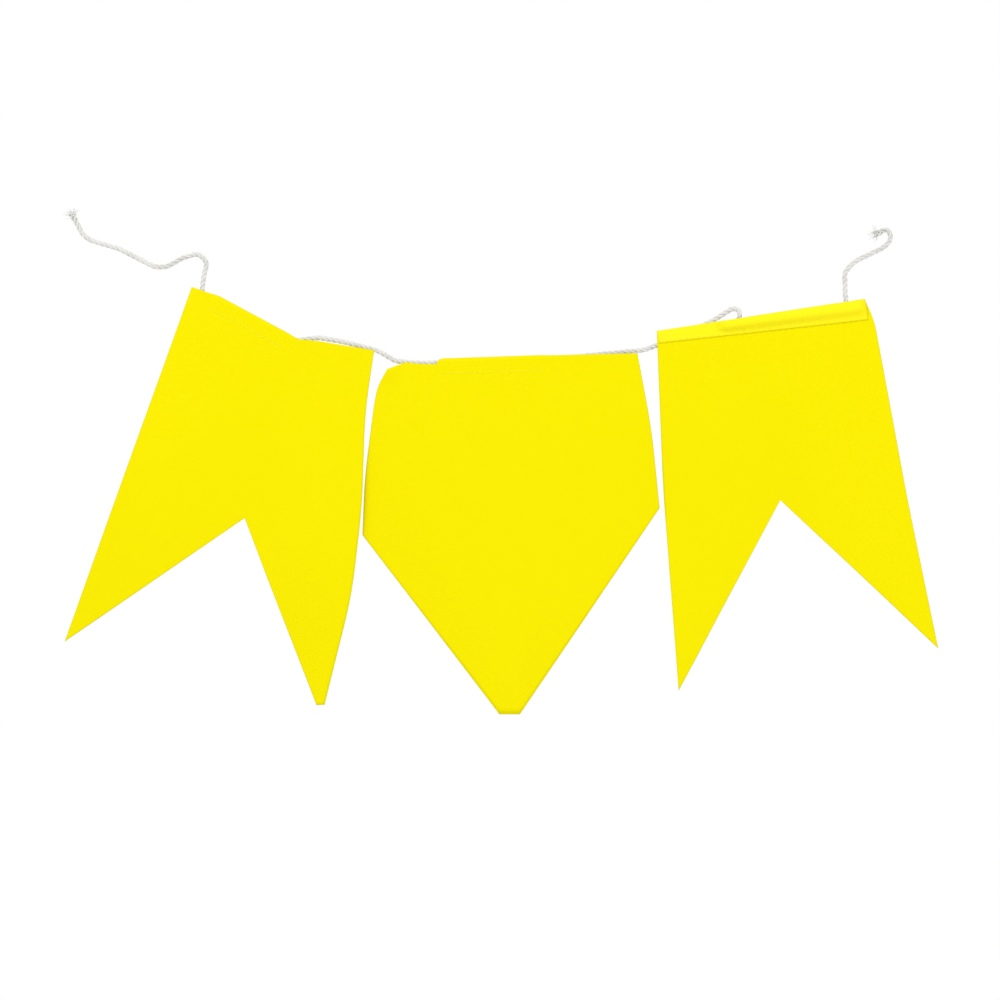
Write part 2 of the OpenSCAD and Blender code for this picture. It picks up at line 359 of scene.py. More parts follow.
def threads(nodes, across, pitch):
    """Height of parallel threads, 0 to 1, along one direction of the weave."""
    turned = nodes.maths("MULTIPLY", across, 2 * math.pi / pitch)
    return nodes.maths("MULTIPLY_ADD", nodes.maths("SINE", turned), 0.5, 0.5)


def cloth_material(name, colour, worn_and_weave_shade, painted_leaf_light, pitch):
    """Plain-woven cloth. The attribute "weave" holds where each point is on the flat cloth, and a 1 on
    the leaf of its hem, which is painted paler as painted light."""
    made, n = material(name)
    grain = n.add("Attribute", {"attribute_name": "weave"})
    split = n.add("SeparateXYZ", Vector=grain.outputs["Vector"])
    u, v, hem = split.outputs[0], split.outputs[1], split.outputs[2]
    warp = n.add("TexNoise", Vector=grain.outputs["Vector"], Scale=420.0, Detail=2.0)
    drift = n.maths("MULTIPLY_ADD", warp.outputs["Fac"], 0.35 * pitch, -0.17 * pitch)
    ups = threads(n, n.maths("ADD", u, drift), pitch)
    overs = threads(n, n.maths("ADD", v, drift), pitch)
    # A plain weave: warp and weft each rise over every second thread of the other
    checks_u = n.maths("SINE", n.maths("MULTIPLY", u, math.pi / pitch))
    checks_v = n.maths("SINE", n.maths("MULTIPLY", v, math.pi / pitch))
    over = n.maths("GREATER_THAN", n.maths("MULTIPLY", checks_u, checks_v), 0.0)
    height = n.maths("MAXIMUM", n.maths("MULTIPLY", ups, over),
                     n.maths("MULTIPLY", overs, n.maths("SUBTRACT", 1.0, over)))
    slubs = n.add("TexNoise", Vector=grain.outputs["Vector"], Scale=55.0, Detail=4.0, Roughness=0.6)
    blotch = n.add("TexNoise", Vector=grain.outputs["Vector"], Scale=16.0, Detail=3.0)
    base = n.mix(n.maths("MULTIPLY", blotch.outputs["Fac"], 0.6), colour, worn_and_weave_shade)
    # Painted shade: the cloth is darker where a thread dips under its neighbours, in the hollows of the
    # weave
    base = n.mix(n.maths("MULTIPLY", n.maths("SUBTRACT", 1.0, height), 0.10), base,
                 tuple(0.72 * c for c in worn_and_weave_shade[:3]) + (1.0,))
    base = n.mix(n.maths("MULTIPLY", slubs.outputs["Fac"], 0.12), base, worn_and_weave_shade)
    # Painted light: the hem's leaf is coloured paler, standing in for the light it catches
    base = n.mix(hem, base, painted_leaf_light)
    rough = n.maths("MULTIPLY_ADD", slubs.outputs["Fac"], 0.25, 0.62)
    relief = n.maths("ADD", height, n.maths("MULTIPLY", slubs.outputs["Fac"], 0.8))
    bump = n.add("Bump", Height=relief, Strength=0.35, Distance=0.12 * MM)
    surface = n.add("BsdfPrincipled", Base_Color=base, Roughness=rough, Normal=bump.outputs[0])
    n.put(surface, "Sheen Weight", 0.05)
    n.put(surface, "Sheen Roughness", 0.5)
    n.put(surface, "Sheen Tint", colour)
    n.put(surface, "Specular IOR Level", 0.03)
    through = n.add("BsdfTranslucent", Color=base, Normal=bump.outputs[0])
    both = n.add("MixShader", Fac=0.05)
    n.put(both, "1", surface.outputs[0])
    n.put(both, "2", through.outputs[0])
    n.add("OutputMaterial", Surface=both.outputs[0])
    return made


def yarn_material(name, colour, shade, pitch, strength):
    """Spun yarn. The attribute "lay" holds how far along and how far round the yarn each point is."""
    made, n = material(name)
    lay = n.add("Attribute", {"attribute_name": "lay"})
    split = n.add("SeparateXYZ", Vector=lay.outputs["Vector"])
    slant = n.maths("ADD", n.maths("MULTIPLY", split.outputs[0], 2 * math.pi / pitch), split.outputs[1])
    place = n.add("NewGeometry")
    fuzz = n.add("TexNoise", Vector=place.outputs["Position"], Scale=2600.0, Detail=4.0, Roughness=0.7)
    tone = n.add("TexNoise", Vector=place.outputs["Position"], Scale=130.0, Detail=2.0)
    wobble = n.maths("MULTIPLY", fuzz.outputs["Fac"], 1.6)
    fibres = n.maths("SINE", n.maths("ADD", n.maths("MULTIPLY", slant, 3.0), wobble))
    height = n.maths("MULTIPLY_ADD", fibres, 0.5, fuzz.outputs["Fac"])
    base = n.mix(n.maths("MULTIPLY", tone.outputs["Fac"], 0.7), colour, shade)
    base = n.mix(n.maths("MULTIPLY", n.maths("MULTIPLY_ADD", fibres, -0.5, 0.5), 0.22), base, shade)
    rough = n.maths("MULTIPLY_ADD", fuzz.outputs["Fac"], 0.2, 0.75)
    bump = n.add("Bump", Height=height, Strength=strength, Distance=0.1 * MM)
    surface = n.add("BsdfPrincipled", Base_Color=base, Roughness=rough, Normal=bump.outputs[0])
    n.put(surface, "Sheen Weight", 0.3)
    n.put(surface, "Specular IOR Level", 0.2)
    n.add("OutputMaterial", Surface=surface.outputs[0])
    return made


YELLOW = (0.915, 0.812, 0.0002, 1.0)
# A worn tint, and also the base of the painted shade in the weave's hollows
WORN_AND_SHADE_YELLOW = (0.89, 0.785, 0.0003, 1.0)
# Painted light: a paler yellow for the hem's leaf
PAINTED_LIGHT_YELLOW = (1.0, 0.885, 0.012, 1.0)
THREAD_YELLOW = (0.97, 0.85, 0.006, 1.0)
THREAD_SHADE = (0.93, 0.80, 0.005, 1.0)
COTTON = (0.86, 0.855, 0.825, 1.0)
COTTON_SHADE = (0.56, 0.55, 0.52, 1.0)
PALE_GREY = (0.93, 0.93, 0.93, 1.0)
GREY = (0.88, 0.88, 0.88, 1.0)
weave_pitch = 0.55 * MM
cloth = cloth_material("woven_yellow", YELLOW, WORN_AND_SHADE_YELLOW, PAINTED_LIGHT_YELLOW, weave_pitch)
cotton = yarn_material("twisted_cotton", COTTON, COTTON_SHADE, 2.6 * MM, 0.7)
thread = yarn_material("sewing_thread", THREAD_YELLOW, THREAD_SHADE, 0.9 * MM, 0.5)


# ---------------------------------------------------------------- flags

cloth_thickness = 0.42 * MM
flat_gap = 0.5 * MM           # between the middles of two layers that lie on each other
column_step = 0.8 * MM
row_step = 1.5 * MM
hem_row_step = 0.8 * MM
first_row_depth = 2.2 * MM
fine_depth = 16 * MM          # rows are as close as the hem's over this depth
slope_reach = 5 * MM          # the top edge's slope is taken over this far to each side
roll_steps = 11               # strips in the half turn over the cord
half_roll = (roll_steps - 1) // 2
mouth_rise = 2.2 * MM         # a mouth opens over this length
mouth_parted = 0.05           # the roll's top strip is left out where its mouth is more open than this
leaf_steps = 10
leaf_slant_start = 0.42       # the leaf starts to close on the flag at this share of its depth
sewn_strip = 1.8 * MM         # and lies flat over this much above its lower edge
stitch_inset = 0.9 * MM       # from the leaf's lower edge up to the stitches
stitch_pitch = 3.2 * MM
stitch_length = 2.4 * MM
stitch_radius = 0.19 * MM
stitch_sink = 1.25            # how far under the face a stitch's middle line is at its ends, in radii
stitch_sides = 8
stitch_rings = 9
pucker = 0.12 * MM            # how far the stitches draw the cloth in and out
pucker_reach = 1.3 * MM
seam_margin = 0.7 * MM        # a sleeve goes on this far past the ends of its seam
seam_depth = 7.5 * MM         # how far the seam is below the top edge
seam_search_step = 0.1 * MM
wide_fold = 104 * MM          # lengths of the folds in the hanging cloth, across it
slim_fold = 47 * MM
wide_fold_slant = 520 * MM    # and how far down they have moved over by one fold
slim_fold_slant = 310 * MM
slow_fold = 230 * MM          # length of the fold down the flag
slim_turn = 2.3               # the slim folds and the slow one start at this many of the flag's turns
slow_turn = 0.7
drape_starts = 4 * MM         # the folds start this far below the fold line
drape_full = 120 * MM         # and are full from here down


def corner_sections(outline, corners):
    """The top, right, low and left edges of a flag, each from left to right or from top to bottom."""
    c = corners
    top = between(outline, c["top_left"], c["top_right"])
    right = between(outline, c["top_right"], c["low_right"])
    low = between(outline, c["low_right"], c["low_left"])[::-1]
    left = between(outline, c["low_left"], c["top_left"])[::-1]
    return top, softened(right), low, softened(left)


def spread(line, step, keys=()):
    """Shares along a line, about a step apart, with one of them moved onto each key share."""
    shares = np.linspace(0, 1, max(4, int(round(lengths_along(line)[-1] / step))) + 1)
    for key in keys:
        shares[np.argmin(np.abs(shares - key))] = key
    return shares


def key_shares(line):
    """Where the points of a line lie along it, as shares, without its two ends."""
    own = lengths_along(line)
    return own[1:-1] / own[-1]


def patch(edges, s, t):
    """Points inside four edges, at a share s across and t down: a Coons patch."""
    top, right, low, left = (at_lengths(edge, share * lengths_along(edge)[-1])
                             for edge, share in zip(edges, (s, t, s, t)))
    s, t = s[:, None], t[:, None]
    corner_mix = ((1 - s) * (1 - t) * edges[0][0] + s * (1 - t) * edges[0][-1]
                  + (1 - s) * t * edges[2][0] + s * t * edges[2][-1])
    return (1 - t) * top + t * low + (1 - s) * left + s * right - corner_mix


def column_shares(edges, s, height, share):
    """Shares down each column of a flag, which reach the same depth in all of them near the top."""
    foot, top = patch(edges, s, np.ones_like(s)), patch(edges, s, np.zeros_like(s))
    columns = np.linalg.norm(foot - top, axis=1)
    return share * (1 + (height / columns - 1) * (1 - share) ** 2)


def row_shares(height):
    """Shares down a flag: fine rows by its hem and wider ones below."""
    fine = first_row_depth + np.arange(int(fine_depth / hem_row_step)) * hem_row_step
    rest = np.linspace(fine[-1], height, int((height - fine[-1]) / row_step) + 1)[1:]
    return np.concatenate([fine, rest]) / height


class Drape:
    """How hanging cloth stands off its plane: folds that open out downwards, and corners that curl."""

    def __init__(self, lean, turn, wide, slim, slow, curls=()):
        self.lean = lean        # how far to the back the cloth hangs, low down
        self.turn = turn        # where the folds start, so that no two flags are alike
        self.wide = wide        # depths of the wide folds, the slim ones and the slow one down the flag
        self.slim = slim
        self.slow = slow
        self.curls = curls      # corner, reach and lift of each curl

    def depth(self, uv, corners):
        """How far back each point stands."""
        down = np.clip(-uv[:, 1], 0, None)
        u = uv[:, 0]
        wide = np.sin(2 * math.pi * (u / wide_fold + down / wide_fold_slant) + self.turn)
        slim = np.sin(2 * math.pi * (u / slim_fold - down / slim_fold_slant) + slim_turn * self.turn)
        slow = np.sin(2 * math.pi * down / slow_fold + slow_turn * self.turn)
        opened = smooth_step(down, drape_starts, drape_full)
        off = opened * (self.lean + self.wide * wide + self.slim * slim + self.slow * slow)
        for corner, reach, lift in self.curls:
            away = np.linalg.norm(uv - corners[corner], axis=1)
            off = off + lift * (1 - smooth_step(away, 0, reach)) ** 2
        return off


class Hem:
    """How one flag's cloth turns over its cord. Places are lengths along the top edge, from its left."""

    def __init__(self, away, leaf, opened, depths, slits):
        self.away = away        # 1 when the leaf comes down behind the cord, -1 when in front of it
        self.leaf = leaf        # where the leaf starts and ends
        self.opened = opened    # where the sleeve is open for the cord, and over how long it opens
        self.depths = depths    # how deep the leaf comes at its start and end
        self.slits = slits      # where the cord comes out through the top of the sleeve

    def gap(self, x, sleeve_gap):
        """From the middle of the hanging layer to the middle of the leaf, at the top."""
        low, high, rise = self.opened
        share = smooth_step(x, low - rise, low) * (1 - smooth_step(x, high, high + rise))
        return flat_gap + (sleeve_gap - flat_gap) * share

    def edge_depth(self, x):
        """How deep the leaf comes."""
        return np.interp(x, self.leaf, self.depths)

    def has_leaf(self, x):
        """Whether there is a leaf."""
        return (x >= self.leaf[0]) & (x <= self.leaf[1])

    def mouth(self, x):
        """How far the top of the roll is parted: 0 is closed and 1 is open."""
        parted = 1 - (smooth_step(x, self.leaf[0] - mouth_rise, self.leaf[0])
                      * (1 - smooth_step(x, self.leaf[1], self.leaf[1] + mouth_rise)))
        for low, high in self.slits:
            here = smooth_step(x, low, low + mouth_rise) * (1 - smooth_step(x, high - mouth_rise, high))
            parted = np.maximum(parted, here)
        return parted


class Flag:
    """What the frame says about one flag: its plane, its outline and where its sleeve is."""

    def __init__(self, side):
        self.side = side
        self.own = FlagFrame(side)
        outline, corners, self.plane = flag_outline(side, self.own)
        self.edges = corner_sections(outline, corners)
        self.corners = {name: outline[i] for name, i in corners.items()}
        self.top = self.edges[0]
        self.width = lengths_along(self.top)[-1]
        self.height = (lengths_along(self.edges[1])[-1] + lengths_along(self.edges[3])[-1]) / 2
        low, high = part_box(side + "_flag_hem")
        self.sleeve_gap = 2 * abs((low[1] + high[1]) / 2 - self.plane)
        seam = self.own.flat(node_mesh(side + "_flag_seam")[0])
        places = [self.nearest(p + (0, seam_depth)) for p in seam]
        self.sleeve = (min(places) - seam_margin, max(places) + seam_margin)

    def nearest(self, point):
        """How far along the top edge the point nearest to a given one is."""
        x = np.linspace(0, self.width, 1 + int(self.width / seam_search_step))
        return x[np.argmin(np.linalg.norm(at_lengths(self.top, x) - point, axis=1))]

    def top_at(self, x, leaf):
        """Points of the top edge, and the way down from it at each. Its slope is smoothed, but not over
        the ends of the hem's leaf."""
        here = at_lengths(self.top, x)
        inside = (x >= leaf[0]) & (x <= leaf[1])
        low = np.where(inside, leaf[0], np.where(x < leaf[0], 0, leaf[1]))
        high = np.where(inside, leaf[1], np.where(x < leaf[0], leaf[0], self.width))
        ahead = at_lengths(self.top, np.clip(x + slope_reach, low, high))
        behind = at_lengths(self.top, np.clip(x - slope_reach, low, high))
        way = ahead - behind
        way /= np.linalg.norm(way, axis=1, keepdims=True)
        return here, np.stack([way[:, 1], -way[:, 0]], axis=1)


def cloth_rows(flag, hem, s):
    """Rows of points from a flag's foot up, over its cord and down its leaf. Each row has its [u, v], how
    far it is from the hanging layer, and a 1 if it is on the leaf."""
    x = s * flag.width
    gap = hem.gap(x, flag.sleeve_gap)
    roll = gap / 2
    mouth = hem.mouth(x)
    leaf_edge = hem.edge_depth(x)
    top, down = flag.top_at(x, hem.leaf)
    rows = []
    for share in [*row_shares(flag.height)[::-1], roll / flag.height]:
        t = column_shares(flag.edges, s, flag.height, share)
        rows.append((patch(flag.edges, s, t), np.zeros_like(s), 0.0))
    tangent = rows[-1][0]
    for k in range(1, roll_steps):
        angle = math.pi * k / roll_steps
        turned = 0.5 - 0.5 * math.cos(angle)
        on_leaf = float(k > half_roll)
        # Where the roll has a mouth, its two halves stand straight up and don't meet
        rise = (1 - mouth) * math.sin(angle) + mouth * min(k, roll_steps - k) / half_roll
        share = (1 - mouth) * turned + mouth * on_leaf
        base = (1 - turned) * tangent + turned * (top + roll[:, None] * down)
        rows.append((base - (roll * rise)[:, None] * down, gap * share, on_leaf))
    for share in np.linspace(0, 1, leaf_steps):
        deep = roll + share * (leaf_edge - roll)
        slant = smooth_step(deep, leaf_slant_start * leaf_edge, leaf_edge - sewn_strip)
        rows.append((top + deep[:, None] * down, gap + (flat_gap - gap) * slant, 1.0))
    return rows


def seam_pucker(flag, hem, x, uv):
    """How far the stitches draw the cloth out of its plane at each point of its rows."""
    count = len(uv) // len(x)
    top, down = (np.tile(part, (count, 1)) for part in flag.top_at(x, hem.leaf))
    deep = np.sum((uv - top) * down, axis=1)
    by_seam = np.exp(-((deep - np.tile(hem.edge_depth(x), count) + stitch_inset) / pucker_reach) ** 2)
    waves = np.cos(2 * math.pi * np.tile(x, count) / stitch_pitch)
    return pucker * by_seam * waves * np.tile(hem.has_leaf(x), count)


def cloth_quads(hem, x, count):
    """Quads between a flag's rows. The leaf has none beyond its ends, and its top none over a mouth."""
    has_leaf = hem.has_leaf(x)
    parted = hem.mouth(x) > mouth_parted
    top_strip = count - leaf_steps - roll_steps + half_roll
    columns = len(x)
    quads = []
    for i in range(count - 1):
        for j in range(columns - 1):
            both = has_leaf[j] and has_leaf[j + 1]
            split = i == top_strip and (parted[j] or parted[j + 1])
            if i < top_strip or (both and not split):
                a = i * columns + j
                quads.append((a, a + 1, a + 1 + columns, a + columns))
    return np.array(quads)


def flag_cloth(flag, hem, drape):
    """One sheet of cloth that hangs, rolls over the cord and comes down again as a sewn leaf."""
    s = spread(flag.top, column_step, np.concatenate([key_shares(flag.top), key_shares(flag.edges[2])]))
    x = s * flag.width
    rows, layers, marks = zip(*cloth_rows(flag, hem, s))
    uv = np.concatenate(rows)
    off_plane = hem.away * (np.concatenate(layers) + seam_pucker(flag, hem, x, uv))
    points = flag.own.place(uv, flag.plane + off_plane + drape.depth(uv, flag.corners))
    unrolled = [np.mean(np.hypot(np.linalg.norm(b - a, axis=1), m - l))
                for a, b, l, m in zip(rows, rows[1:], layers, layers[1:])]
    way_round = np.concatenate([[0], np.cumsum(unrolled)])
    weave = np.stack([uv[:, 0], np.repeat(way_round, len(x)), np.repeat(marks, len(x))], axis=1)
    used, quads = np.unique(cloth_quads(hem, x, len(rows)), return_inverse=True)
    both, faces, smooth = thick_sheet(points[used], quads.reshape(-1, 4), cloth_thickness)
    piece = new_object(flag.side + "_flag", both, faces, smooth)
    set_attribute(piece, "weave", np.concatenate([weave[used], weave[used]]))
    piece.data.materials.append(cloth)
    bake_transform(piece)
    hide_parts(flag.side + "_flag_hem", flag.side + "_flag_cloth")


def flag_stitches(flag, hem):
    """A row of running stitches on each face of the hem. Each dips into the cloth at its two ends."""
    points, faces, lay = [], [], []
    room = hem.leaf[1] - hem.leaf[0] - stitch_length
    number = int(room / stitch_pitch)
    first = hem.leaf[0] + (room - number * stitch_pitch) / 2
    share = np.linspace(0, 1, stitch_rings)
    proud = stitch_radius * (np.sin(math.pi * share) - stitch_sink)
    hanging_face, leaf_face = (-1, -cloth_thickness / 2), (1, flat_gap + cloth_thickness / 2)
    for out, face in (hanging_face, leaf_face):
        for i in range(number + 1):
            x = first + i * stitch_pitch + share * stitch_length
            top, down = flag.top_at(x, hem.leaf)
            uv = top + (hem.edge_depth(x) - stitch_inset)[:, None] * down
            drawn = pucker * np.cos(2 * math.pi * x / stitch_pitch)
            y = flag.plane + hem.away * (face + drawn + out * proud)
            rings = tube(flag.own.place(uv, y), np.full(len(x), stitch_radius), stitch_sides)
            faces += tube_faces(len(x), stitch_sides, sum(len(p) for p in points))
            points.append(rings.reshape(-1, 3))
            lay.append(tube_lay(x, stitch_sides))
    piece = new_object(flag.side + "_flag_stitches", np.concatenate(points), faces)
    set_attribute(piece, "lay", np.concatenate(lay))
    piece.data.materials.append(thread)
    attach(piece, flag.side + "_flag_hem")
    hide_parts(flag.side + "_flag_seam")


# ---------------------------------------------------------------- cord

cord_mount = next(m for m in frame["record"]["mounts"] if m["name"] == "left_cord_end")
cord_radius = cord_mount["dims"]["r_mm"] * MM
cord_step = 0.45 * MM
bend_reach = 4.4 * MM         # the piece of cord over a joint reaches this far to each side of it
lay_length = 8.5 * MM         # length of one turn of a ply
ply_count = 3
ply_sides = 12
ply_share = 0.48              # a ply's radius, as a share of the cord's
end_slack = 7 * MM            # the cord is loose over this much of its ends
loose_slimming = 0.25         # how much thinner a ply is at a loose end
loose_spread = 0.9            # and how much further out it lies
short_unevenness = 1.9 * MM
long_unevenness = 5.3 * MM
fibre_sides = 5
fibres_a_ply = 9
fibre_points = 8
fibre_spread = 0.55           # how far a fibre leans out of the ply's way
fibre_curl = 0.25
fibre_root = 1.5 * MM         # a fibre starts this far inside the end
shortest_fibre = 2.5 * MM
longest_fibre = 5.5 * MM
fibre_radii = (0.11 * MM, 0.05 * MM)
fray_seed = 11
march_step = 0.8 * MM
last_step = 1.2 * march_step  # a march ends once its stop is nearer than this
section_reach = 2.4 * MM      # a cross section's points are nearer than this to its middle
fewest_cuts = 6               # a cross section with fewer points is past the end
ring_reach = 0.3 * MM
same_point = 0.05 * MM
smooth_points = 6             # how many points to each side smooth the cord's line
smooth_width = 2.6


def march(node, start, way, stop=None):
    """The middle line of a round soft solid, found one cross section after another."""
    points, triangles = node_mesh(node)
    edges, _ = edges_of(triangles)
    a, b = points[edges[:, 0]], points[edges[:, 1]]
    line = [start]
    while True:
        ahead = line[-1] + march_step * way
        if stop is not None and np.linalg.norm(stop - line[-1]) < last_step:
            return np.array(line + [stop])
        from_a, from_b = (a - ahead) @ way, (b - ahead) @ way
        cut = from_a * from_b < 0
        share = from_a[cut] / (from_a[cut] - from_b[cut])
        met = a[cut] + share[:, None] * (b[cut] - a[cut])
        met = met[np.linalg.norm(met - ahead, axis=1) < section_reach]
        if len(met) < fewest_cuts:
            return np.array(line)
        middle = (met.min(axis=0) + met.max(axis=0)) / 2
        way = unit(way + unit(middle - line[-1]))
        line.append(middle)


def nearest_ring(node, point):
    """The middle of the ring of a node's points that is nearest to a point."""
    points, _ = node_mesh(node)
    away = np.linalg.norm(points - point, axis=1)
    return points[away < away.min() + ring_reach].mean(axis=0)


def cord_chain():
    """The cord's bodies from its left end, and the joint after each but the last."""
    body = next(name for name in frame["bodies"] if name not in {j["child"] for j in frame["joints"]})
    bodies, bends = [body], []
    while True:
        onward = [j for j in frame["joints"] if j["parent"] == body and j["child"].startswith("cord")]
        if not onward:
            return bodies, bends
        bends.append(onward[0])
        body = onward[0]["child"]
        bodies.append(body)


def evened(line):
    """A line in even steps, with its small kinks smoothed out and its two ends where they were."""
    gaps = np.linalg.norm(np.diff(line, axis=0), axis=1)
    line = line[np.concatenate([[True], gaps > same_point])]
    count = int(lengths_along(line)[-1] / cord_step)
    line = at_lengths(line, np.linspace(0, lengths_along(line)[-1], count + 1))
    soft = np.exp(-0.5 * (np.arange(-smooth_points, smooth_points + 1) / smooth_width) ** 2)
    soft /= soft.sum()
    before = 2 * line[:1] - line[smooth_points:0:-1]
    after = 2 * line[-1:] - line[-2:-2 - smooth_points:-1]
    padded = np.concatenate([before, line, after])
    return np.stack([np.convolve(column, soft, "valid") for column in padded.T], axis=1)


def cord_line():
    """The whole cord's middle line, its bodies and the joints between them, and where in the line each
    joint is."""
    bodies, bends = cord_chain()
    places = [np.array(j["pos_m"], float) for j in bends]
    points, _ = node_mesh(bodies[0])
    first_way = unit(points.mean(axis=0) - places[0])
    lengths = [march(bodies[0], places[0], first_way)[::-1]]
    for i, body in enumerate(bodies[1:]):
        begin = nearest_ring(body, places[i])
        stop = places[i + 1] if i + 1 < len(places) else None
        lengths.append(march(body, begin, unit(begin - places[i]), stop))
    line = evened(np.concatenate(lengths))
    marks = [int(np.argmin(np.linalg.norm(line - p, axis=1))) for p in places]
    return line, bodies, bends, marks


def frames_along(line):
    """Two directions across a line at each point, turned as little as possible along it."""
    ways = np.gradient(line, axis=0)
    ways /= np.linalg.norm(ways, axis=1, keepdims=True)
    across = unit(np.cross(ways[0], FRONT + 0.1 * UP))
    first, second = [], []
    for way in ways:
        across = unit(across - np.dot(across, way) * way)
        first.append(across)
        second.append(np.cross(way, across))
    return np.array(first), np.array(second)


def tube(line, radii, sides):
    """Rings of points round a line."""
    first, second = frames_along(line)
    angles = (np.arange(sides) * 2 * math.pi / sides)[None, :, None]
    round_it = np.cos(angles) * first[:, None] + np.sin(angles) * second[:, None]
    return line[:, None] + np.asarray(radii)[:, None, None] * round_it


def tube_faces(rings, sides, first):
    """Quads between rings, and a cap at each end. The first ring's points are numbered from first."""
    faces = []
    for i in range(rings - 1):
        low, high = first + i * sides, first + (i + 1) * sides
        for k in range(sides):
            beside = (k + 1) % sides
            faces.append((low + k, low + beside, high + beside, high + k))
    faces.append(tuple(first + k for k in range(sides))[::-1])
    faces.append(tuple(first + (rings - 1) * sides + k for k in range(sides)))
    return faces


def tube_lay(along, sides):
    """How far along and how far round each point of a tube is."""
    around = np.tile(np.arange(sides) * 2 * math.pi / sides, len(along))
    return np.stack([np.repeat(along, sides), around, np.zeros_like(around)], axis=1)


def ply_lines(line):
    """The middle line and radii of each ply twisted round the cord's line, looser at its two ends."""
    along = lengths_along(line)
    first, second = frames_along(line)
    from_end = np.minimum(along, along[-1] - along)
    loose = 1 - smooth_step(from_end, 0, end_slack)
    radius = ply_share * cord_radius * (1 - loose_slimming * loose)
    offset = (1 - ply_share) * cord_radius * (1 + loose_spread * loose)
    for k in range(ply_count):
        turn = 2 * math.pi * (along / lay_length + k / ply_count)
        uneven = (1 + 0.035 * np.sin(along / short_unevenness + 2 * k)
                  + 0.03 * np.sin(along / long_unevenness + 4 * k))
        out = np.cos(turn)[:, None] * first + np.sin(turn)[:, None] * second
        yield line + offset[:, None] * out, radius * uneven


def frayed_fibres(end, way, seed):
    """The middle lines and radii of the fine fibres that spread out of the end of a ply."""
    dice = np.random.RandomState(seed)
    ply_radius = ply_share * cord_radius
    share = np.linspace(0, 1, fibre_points)
    for _ in range(fibres_a_ply):
        lean = way + fibre_spread * dice.normal(size=3)
        length = dice.uniform(shortest_fibre, longest_fibre)
        curl = np.cross(lean, dice.normal(size=3))
        start = end - fibre_root * way + 0.5 * ply_radius * dice.normal(size=3)
        path = share[:, None] * unit(lean) + fibre_curl * share[:, None] ** 2 * unit(curl)
        yield start + length * path, np.linspace(*fibre_radii, fibre_points)


def cord_piece(name, plies, along, low, high, frayed_ends):
    """A twisted stretch of the cord between two of its rings, with fibres out of its frayed ends."""
    points, faces, lay = [], [], []
    for rings, _ in plies:
        faces += tube_faces(high - low + 1, ply_sides, sum(len(p) for p in points))
        points.append(rings[low:high + 1].reshape(-1, 3))
        lay.append(tube_lay(along[low:high + 1], ply_sides))
    for last, inner in frayed_ends:
        for k, (_, middle) in enumerate(plies):
            way = unit(middle[last] - middle[inner])
            for fibre, radii in frayed_fibres(middle[last], way, fray_seed + k - last):
                faces += tube_faces(len(fibre), fibre_sides, sum(len(p) for p in points))
                points.append(tube(fibre, radii, fibre_sides).reshape(-1, 3))
                lay.append(tube_lay(lengths_along(fibre), fibre_sides))
    piece = new_object(name, np.concatenate(points), faces)
    set_attribute(piece, "lay", np.concatenate(lay))
    piece.data.materials.append(cotton)
    return piece


def build_cord():
    """A length of twisted cord on each body, and a short one over each bend between them."""
    line, bodies, bends, marks = cord_line()
    along = lengths_along(line)
    plies = [(tube(middle, radii, ply_sides), middle) for middle, radii in ply_lines(line)]
    middles = [0] + [(a + b) // 2 for a, b in zip(marks, marks[1:])] + [len(line) - 1]
    reach = int(bend_reach / cord_step)
    flexed = [(max(at - reach, low), min(at + reach, high))
              for at, low, high in zip(marks, middles, middles[1:])]
    for joint, (low, high) in zip(bends, flexed):
        piece = cord_piece("cord_over_" + joint["name"], plies, along, low, high, ())
        tuple(line[low + 1])
        tuple(line[high - 1])
        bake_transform(piece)
        if high - low < 2 * reach:
            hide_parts(joint["child"])
    starts = [0] + [high for _, high in flexed]
    stops = [low for low, _ in flexed] + [len(line) - 1]
    for body, low, high in zip(bodies, starts, stops):
        if high - low < 2:
            continue
        frayed_ends = [(0, 1)] if low == 0 else [(-1, -2)] if high == len(line) - 1 else []
        piece = cord_piece(body + "_twist", plies, along, low, high, frayed_ends)
        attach(piece, body)
        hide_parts(body)


# ---------------------------------------------------------------- the three flags and the cord

hem_depth = 8.4 * MM
leaf_margin = 1 * MM          # a short leaf goes on this far past its sleeve
short_open_past = 9 * MM      # the layers stand apart this far past the sleeve
short_opens_over = 2 * MM     # and close over this length
long_hem_depths = (6 * MM, 10.4 * MM)
long_open_past = 11 * MM
long_opens_over = 5 * MM
first_slit = (12.5 * MM, 2.2 * MM)   # how far a slit goes to the left and right of its end of the sleeve
last_slit = (1.5 * MM, 11 * MM)


def short_hem(flag):
    """A leaf behind the flag, a little longer than its sleeve."""
    low, high = flag.sleeve
    return Hem(away=1, leaf=(low - leaf_margin, high + leaf_margin), depths=(hem_depth, hem_depth),
               opened=(low - short_open_past, high + short_open_past, short_opens_over), slits=())


def long_hem(flag):
    """A leaf in front of the flag, over its whole width, with a slit for the cord at each end of its
    sleeve. The slits leave room for the flag to slide."""
    low, high = flag.sleeve
    return Hem(away=-1, leaf=(0, flag.width), depths=long_hem_depths,
               opened=(low - long_open_past, high + long_open_past, long_opens_over),
               slits=((low - first_slit[0], low + first_slit[1]),
                      (high - last_slit[0], high + last_slit[1])))


